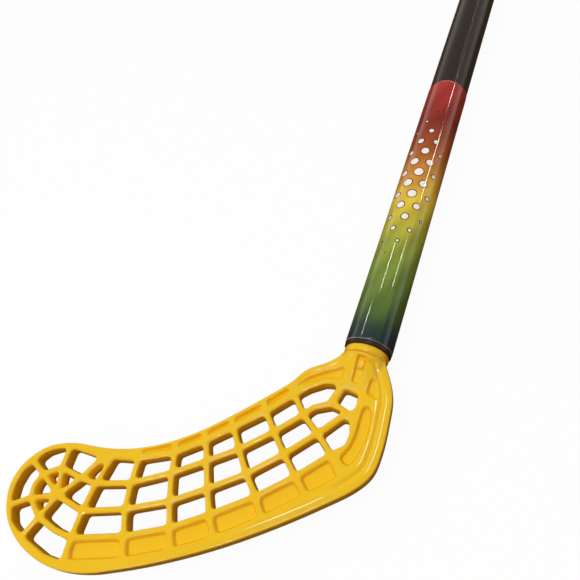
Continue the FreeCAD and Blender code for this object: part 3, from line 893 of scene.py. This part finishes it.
# Dots on a staggered lattice that closes round the tube. A dot's radius falls off as an ellipse about the
# cluster's middle. Gives 1 inside and 0 outside, for the dots within their outline and for whole dots.
def dotShares(material, angle, along):
    calc = partial(mathNode, material)
    columns = film["dotColumns"]
    pitch = 2 * np.pi * (tubeRadius + film["thickness"]) / columns
    row = calc("DIVIDE", along, pitch * film["dotRowShare"])
    odd = calc("MULTIPLY", calc("FLOORED_MODULO", calc("FLOOR", row), 2), 0.5)
    column = calc("MULTIPLY_ADD", angle, columns / (2 * np.pi), odd)
    across = calc("SUBTRACT", calc("FRACT", column), 0.5)
    upwards = calc("MULTIPLY", calc("SUBTRACT", calc("FRACT", row), 0.5), film["dotRowShare"])
    squares = calc("MULTIPLY_ADD", upwards, upwards, calc("MULTIPLY", across, across))
    distance = calc("MULTIPLY", calc("SQRT", squares), pitch)
    (placeAlong, placeAngle), (reachAlong, reachAngle) = film["dotMiddle"], film["dotReach"]
    up = calc("DIVIDE", calc("SUBTRACT", along, placeAlong), reachAlong)
    side = calc("DIVIDE", calc("SUBTRACT", angle, placeAngle), reachAngle)
    spread = calc("MULTIPLY_ADD", up, up, calc("MULTIPLY", side, side))
    size = calc("MULTIPLY", calc("SUBTRACT", 1.0, spread), film["dotRadius"])
    whole = calc("SUBTRACT", size, distance)
    core = calc("SUBTRACT", whole, film["dotOutline"])
    sharp = [calc("MULTIPLY", inside, film["dotCrispness"]) for inside in (core, whole)]
    return [calc("MINIMUM", calc("MAXIMUM", share, 0.0), 1.0) for share in sharp]


# Dark blue, green, yellow and red along the tube with soft slanting bands, and a cluster of white dots
def filmPrint():
    material, shader = newMaterial("filmPrint", Roughness=0.07, Specular_IOR_Level=0.45)
    calc = partial(mathNode, material)
    place = stickCoordinates(material)
    angle, fromSeam, along = roundTube(material, place, np.radians(film["seamAngle"]))
    radius = tubeRadius + film["thickness"]
    climb = calc("MULTIPLY_ADD", fromSeam, film["slant"] * radius, along)
    cloud = calc("SUBTRACT", noiseNode(material, place, *film["cloud"]), 0.5)
    climb = calc("MULTIPLY_ADD", cloud, film["cloudReach"], climb)
    color = rampNode(material, calc("DIVIDE", climb, filmHigh[1]), film["colors"])
    slanted = calc("MULTIPLY_ADD", fromSeam, film["bandSlant"] * radius, along)
    wave = calc("SINE", calc("MULTIPLY", slanted, 2 * np.pi / film["bandLength"]))
    band = calc("MULTIPLY", calc("MULTIPLY", wave, wave), film["bandStrength"])
    color = mixColors(material, band, color, film["bandTone"], "MULTIPLY")
    core, whole = dotShares(material, angle, along)
    color = mixColors(material, whole, color, film["outlineTone"])
    color = mixColors(material, core, color, film["dotTone"])
    cut = calc("LESS_THAN", along, filmLow[1] + film["edgeLine"])
    colorBy(material, shader, cut, (color, film["edgeTone"]))
    bumpFrom(material, shader, noiseNode(material, place, *film["ripple"]), *film["relief"])
    return material


strip = wrappedStrip(film, filmLow[1], filmHigh[1], tubeRadius)
addPiece("filmWrap", *strip, filmPrint(), "printed_film", "decor_film")

# Grip: a cushioned band wound up the hand end, each turn's edge lapped over the turn before
grip = {
    "pitch": 24.0,
    "turnRows": 30,
    "columns": 120,
    "flatRadius": 13.35,
    "ridgeRadius": 14.1,
    "ridgeWidth": 0.2,  # shares of a turn
    "dropWidth": 0.035,
    "cushion": 0.22,
    "digits": 6,  # to which shares of a turn are rounded, so that a whole turn starts at 0
    "wear": (0.12, 3.0),
    "tones": ((0.018, 0.018, 0.02), (0.045, 0.045, 0.047)),
    "dulls": (0.62, 0.85),
    "pores": 1.3,  # to a millimetre
    "relief": (0.6, 0.25),
}
gripLow, gripHigh = stickBox("grip_band")


# The rows follow the winding: place = row's place + pitch x turn's share, cut off at both ends. The radius
# is that of the flat band with a slight crown, plus the lap, which climbs over the last part of each turn
# and drops at its edge.
def gripShell():
    low, high, pitch = gripLow[1], gripHigh[1], grip["pitch"]
    angle = np.linspace(0, 2 * np.pi, grip["columns"] + 1)
    rows = int(np.ceil((high - low) / pitch + 1)) * grip["turnRows"] + 1
    start = low - pitch + np.arange(rows)[:, None] * pitch / grip["turnRows"]
    along = np.clip(start + pitch * angle / (2 * np.pi), low, high)
    turn = np.mod(np.round((along - low) / pitch - angle / (2 * np.pi), grip["digits"]), 1)
    flatEnd, crest = 1 - grip["ridgeWidth"], 1 - grip["dropWidth"]
    climb = smoothStep(flatEnd, crest, turn) * smoothStep(1, crest, turn)
    crown = grip["cushion"] * np.sin(np.pi * np.clip(turn / flatEnd, 0, 1)) ** 2
    radius = grip["flatRadius"] + crown + (grip["ridgeRadius"] - grip["flatRadius"]) * climb
    inner = np.full((1, len(angle)), tubeRadius)
    radius = np.concatenate((inner, radius, inner, inner))
    ends = np.zeros((1, len(angle)))
    along = np.concatenate((low + ends, along, high + ends, low + ends))
    return roundAxis(radius, along, angle, closed=False)


# Matt band with fine pores and worn patches
def gripRubber():
    material, shader = newMaterial("gripRubber", Specular_IOR_Level=0.35)
    place = stickCoordinates(material)
    wear = noiseNode(material, place, *grip["wear"])
    colorBy(material, shader, wear, grip["tones"])
    roughenBy(material, shader, wear, grip["dulls"])
    pores = addNode(material, "TexVoronoi", {"Scale": grip["pores"]})
    link(material, place, pores.inputs["Vector"])
    bumpFrom(material, shader, pores.outputs["Distance"], *grip["relief"])
    return material


addPiece("gripWinding", *gripShell(), gripRubber(), "grip_rubber", "grip_band")

# End tape: a short strip round the lower end of the grip
tape = {
    "thickness": 0.3,
    "seamAngle": 140.0,
    "lapAngle": 40.0,
    "lapHeight": 0.2,
    "edgeWave": 0.3,
    "columns": 120,
    "pattern": (0.5, 4.0, (0.4, 2.0, 0.4)),  # stretch marks round the tape
    "tones": ((0.012, 0.012, 0.013), (0.03, 0.03, 0.031)),
    "dulls": (0.25, 0.45),
    "relief": (0.5, 0.2),
}
tapeLow, tapeHigh = stickBox("grip_end_tape")
tapePlastic = noisyFinish("tapePlastic", tape, Specular_IOR_Level=0.5)
strip = wrappedStrip(tape, tapeLow[1], tapeHigh[1], tapeHigh[0] - tape["thickness"])
addPiece("endTape", *strip, tapePlastic, "tape_plastic", "grip_end_tape")

# End cap: a dished plug with a rounded flange and finger notches
cap = {
    "plugRadius": 10.4,
    "plugWall": 2.2,
    "edgeRound": 1.8,
    "edgeSteps": 8,
    "dishDepth": 1.1,
    "dishStartShare": 0.08,
    "dishSteps": 9,
    "buttonRadius": 2.2,
    "buttonTopShare": 0.7,  # of the button's radius, and its depth at that place and in the middle
    "buttonDepthShares": (0.55, 0.5),
    "floor": 3.0,
    "notches": 24,
    "notchDepth": 0.28,
    "notchEdges": (-0.3, -0.9),  # cosines between which a notch gets its depth
    "columns": 240,
    "cloud": (0.3, 2.0),
    "tones": ((0.018, 0.018, 0.02), (0.034, 0.034, 0.036)),
    "spark": (4.0, 2.0),
    "relief": (0.35, 0.12),
}
capLow, capHigh = stickBox("end_cap")


# A turned profile: the hollow, the plug, the flange, its round edge, the dish as the square of a sine, and
# the button. The flange dips by the notches' depth where the cosine of notches x angle is low.
def capShell():
    foot, top, flange = capLow[1], capHigh[1], capHigh[0]
    edge, plug, button = cap["edgeRound"], cap["plugRadius"], cap["buttonRadius"]
    hollow, floor = plug - cap["plugWall"], top - cap["floor"]
    rimRadius, rimPlace = quarter((flange - edge, top - edge), edge, 0, 90, cap["edgeSteps"])
    dishShare = np.linspace(cap["dishStartShare"], 1, cap["dishSteps"])
    dishRadius = flange - edge - (flange - edge - button) * dishShare
    dishPlace = top - cap["dishDepth"] * np.sin(np.linspace(0, np.pi, cap["dishSteps"]) / 2) ** 2
    buttonPlace = top - cap["dishDepth"] * np.array(cap["buttonDepthShares"])
    body = [0, hollow, hollow, plug, plug, flange]
    radius = np.concatenate((body, rimRadius, dishRadius, [button * cap["buttonTopShare"], 0]))
    body = [floor, floor, foot, foot, tubeLength, tubeLength]
    along = np.concatenate((body, rimPlace, dishPlace, buttonPlace))
    angle = np.linspace(0, 2 * np.pi, cap["columns"], endpoint=False)
    onFlange = smoothStep(flange - edge, flange, radius)[:, None]
    dip = smoothStep(*cap["notchEdges"], np.cos(cap["notches"] * angle))
    return roundAxis(radius[:, None] - cap["notchDepth"] * onFlange * dip, along[:, None], angle)


# Matt black plastic with a sparked mould's fine grain
def capPlastic():
    material, shader = newMaterial("capPlastic", Roughness=0.5, Specular_IOR_Level=0.4)
    place = stickCoordinates(material)
    colorBy(material, shader, noiseNode(material, place, *cap["cloud"]), cap["tones"])
    bumpFrom(material, shader, noiseNode(material, place, *cap["spark"]), *cap["relief"])
    return material


addPiece("capPlug", *capShell(), capPlastic(), "cap_plastic", "end_cap")

# Screws: their solids stay, in black zinc with fine marks
screws = {
    "nodes": ("blade_screw_lower", "blade_screw_upper"),
    "pattern": (2.0, 3.0, (1.0, 1.0, 6.0)),
    "tones": ((0.05, 0.05, 0.055), (0.13, 0.13, 0.135)),
    "dulls": (0.28, 0.5),
}
steel = noisyFinish("screwSteel", screws, Metallic=1.0)
for node in screws["nodes"]:
    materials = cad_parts[node].data.materials
    materials.clear()
    materials.append(steel)
print("screws: black zinc on both")

# Camera at the photograph's angle, in the stick's millimetres
camera = {
    "place": (58.158, -115.229, 267.925),
    "right": (0.9193, 0.3345, -0.2072),
    "up": (-0.1855, 0.8329, 0.5215),
    "back": (0.3470, -0.4410, 0.8277),
    "lens": 34.69,
    "nearest": 1.0,
}


def addCamera():
    data = bpy.data.cameras.new("camera")
    data.lens = camera["lens"]
    data.clip_start = camera["nearest"] * mm
    eye = bpy.data.objects.new("camera", data)
    turn = Matrix((camera["right"], camera["up"], camera["back"])).transposed().to_4x4()
    eye.matrix_world = Matrix.Translation(stickOrigin + mm * np.array(camera["place"])) @ turn
    bpy.context.scene.collection.objects.link(eye)
    bpy.context.scene.camera = eye


# Studio: a floor and a world that look white but throw little light back, in metres
studio = {
    "reach": 6.0,
    "paper": (0.93, 0.93, 0.93),
    "bounce": (0.11, 0.075, 0.04),
    "glow": 0.95,  # share of plain white in what the camera sees of the floor
    "contact": 0.3,  # gloss nearer to the floor than this shows its shaded side
    "ceiling": 0.26,
    "horizon": 1.0,
    "horizonHeights": (0.4, 0.15),  # between these shares of the way up, the ceiling turns into the horizon
    "dim": (0.28, 0.18, 0.085),  # the world's light away from the bright side, and from it
    "bright": (0.8, 0.8, 0.8),
    "brightSide": (-0.35, 0.2, 0.915),
}
# Lamps: a soft key, which shows no gloss, and strips, which show only as gloss. Places are in the stick's
# frame in metres, size is width and length, and way is that of the long side.
lamps = {
    "key": {
        "place": (-0.285, -0.24, 1.02), "target": (-0.06, -0.09, 0),
        "size": (0.3, 0.74), "power": 4.1, "way": (-0.63, -0.36, -0.14),
    },
    "flangeStrip": {
        "place": (-0.135, -0.175, 1.064), "target": (0.0, -0.09, 0),
        "size": (0.04, 0.2), "power": 0.6, "way": (-0.24, -0.17, -0.05),
    },
    "ribStrip": {
        "place": (-0.045, -0.53, 0.925), "target": (-0.06, -0.09, 0),
        "size": (0.035, 0.76), "power": 6.0, "way": (-0.63, -0.397, -0.15),
    },
    "heelStrip": {
        "place": (0.03, 0.23, 1.05), "target": (0.0, -0.06, 0),
        "size": (0.05, 0.3), "power": 1.0, "way": (0, 1, 0),
    },
}
# Streaks: strip lamps that light only the film and the tube. Each place gives the angle round the tube in
# degrees and the millimetres along it, at both ends of a streak.
streaks = {
    "surfaces": ("filmWrap", "tubeWall"),
    "reach": 1.1,
    "width": 0.02,
    "glow": 170.0,  # power for each square metre
    "places": (
        ((-3.0, 33.0), (-3.0, 62.0)),
        ((22.0, 36.0), (22.0, 66.0)),
        ((26.0, 96.0), (26.0, 150.0)),
        ((-14.0, 4.0), (-14.0, 22.0)),
        ((24.0, 178.0), (24.0, 196.0)),
        ((19.0, 262.0), (19.0, 276.0)),
    ),
}


# 1 for rays that show the background to the eye, directly, by glass or by gloss from further than a given
# distance, and 0 for those that only carry light
def seenRay(holder, nearest=-1.0):
    path = addNode(holder, "LightPath").outputs
    far = mathNode(holder, "GREATER_THAN", path["Ray Length"], nearest)
    gloss = mathNode(holder, "MULTIPLY", path["Is Glossy Ray"], far)
    glass = mathNode(holder, "MAXIMUM", path["Is Transmission Ray"], gloss)
    return mathNode(holder, "MAXIMUM", path["Is Camera Ray"], glass)


# Paper that looks mostly plain white to the eye, with a soft shadow, and throws little light back
def floorPaper():
    material, shader = newMaterial("floorPaper", Roughness=0.9, Specular_IOR_Level=0.0)
    colorBy(material, shader, seenRay(material, studio["contact"]), (studio["bounce"], studio["paper"]))
    direct = addNode(material, "LightPath").outputs["Is Camera Ray"]
    blend = addNode(material, "MixShader")
    link(material, mathNode(material, "MULTIPLY", direct, studio["glow"]), blend.inputs[0])
    link(material, shader.outputs[0], blend.inputs[1])
    link(material, addNode(material, "Emission").outputs[0], blend.inputs[2])
    link(material, blend.outputs[0], material.node_tree.nodes["Material Output"].inputs["Surface"])
    return material


def addFloor():
    mesh = bpy.data.meshes.new("floor")
    reach = studio["reach"]
    corners = [(-reach, -reach, 0), (reach, -reach, 0), (reach, reach, 0), (-reach, reach, 0)]
    mesh.from_pydata(corners, [], [(0, 1, 2, 3)])
    mesh.materials.append(floorPaper())
    floor = bpy.data.objects.new("floor", mesh)
    bpy.context.scene.collection.objects.link(floor)


# A lamp at a place of the stick's frame in metres, aimed at a target there, its long side along a given way
def addLamp(name, place, target, size, power, way):
    data = bpy.data.lights.new(name, "AREA")
    data.shape = "RECTANGLE"
    data.size, data.size_y = size
    data.energy = power
    lamp = bpy.data.objects.new(name, data)
    aim = (Vector(place) - Vector(target)).normalized()
    side = Vector(way).cross(aim).normalized()
    turn = Matrix((side, aim.cross(side), aim)).transposed().to_4x4()
    lamp.matrix_world = Matrix.Translation(Vector(stickOrigin) + Vector(place)) @ turn
    bpy.context.scene.collection.objects.link(lamp)
    return lamp


# A strip lamp for each streak. Its ends lie where the line from the camera goes after the film mirrors it:
# the line's direction, less twice its share along the film's normal.
def addStreaks():
    shown = bpy.data.collections.new("streakSurfaces")
    for name in streaks["surfaces"]:
        shown.objects.link(bpy.data.objects[name])
    for index, ends in enumerate(streaks["places"]):
        places = []
        for degrees, along in ends:
            angle = np.radians(degrees)
            normal = np.array((np.sin(angle), 0, np.cos(angle)))
            spot = (tubeRadius * normal + (0, along, 0)) * mm
            sight = spot - mm * np.array(camera["place"])
            sight = sight / np.linalg.norm(sight)
            places.append(spot + streaks["reach"] * (sight - 2 * sight.dot(normal) * normal))
        way = places[1] - places[0]
        size = (streaks["width"], np.linalg.norm(way))
        power = streaks["glow"] * size[0] * size[1]
        lamp = addLamp("streak%d" % index, (places[0] + places[1]) / 2, spot, size, power, way)
        lamp.light_linking.receiver_collection = shown


# Light that is brighter from one side, by the direction's share along it. The eye and gloss see a dim
# ceiling instead, which turns white at the horizon.
def addWorld():
    world = bpy.data.worlds.new("studio")
    bpy.context.scene.world = world
    world.use_nodes = True
    direction = addNode(world, "TexCoord").outputs["Generated"]
    facing = addNode(world, "VectorMath", {1: studio["brightSide"]}, operation="DOT_PRODUCT")
    link(world, direction, facing.inputs[0])
    share = easeNode(world, facing.outputs["Value"], (0, 1))
    light = mixColors(world, share, studio["dim"], studio["bright"])
    axes = addNode(world, "SeparateXYZ")
    link(world, direction, axes.inputs[0])
    high, low = studio["horizonHeights"]
    values = {"From Min": high, "From Max": low, "To Min": studio["ceiling"], "To Max": studio["horizon"]}
    backdrop = addNode(world, "MapRange", values)
    link(world, axes.outputs[2], backdrop.inputs["Value"])
    shown = mixColors(world, seenRay(world), light, backdrop.outputs[0])
    link(world, shown, world.node_tree.nodes["Background"].inputs["Color"])


addCamera()
addFloor()
for name, values in lamps.items():
    lamp = addLamp(name, **values)
    lamp.visible_diffuse = name == "key"
    lamp.visible_glossy = name != "key"
addStreaks()
addWorld()
bpy.context.scene.view_settings.view_transform = "Standard"
print("studio: floor, %d lamps and world" % len(bpy.data.lights))
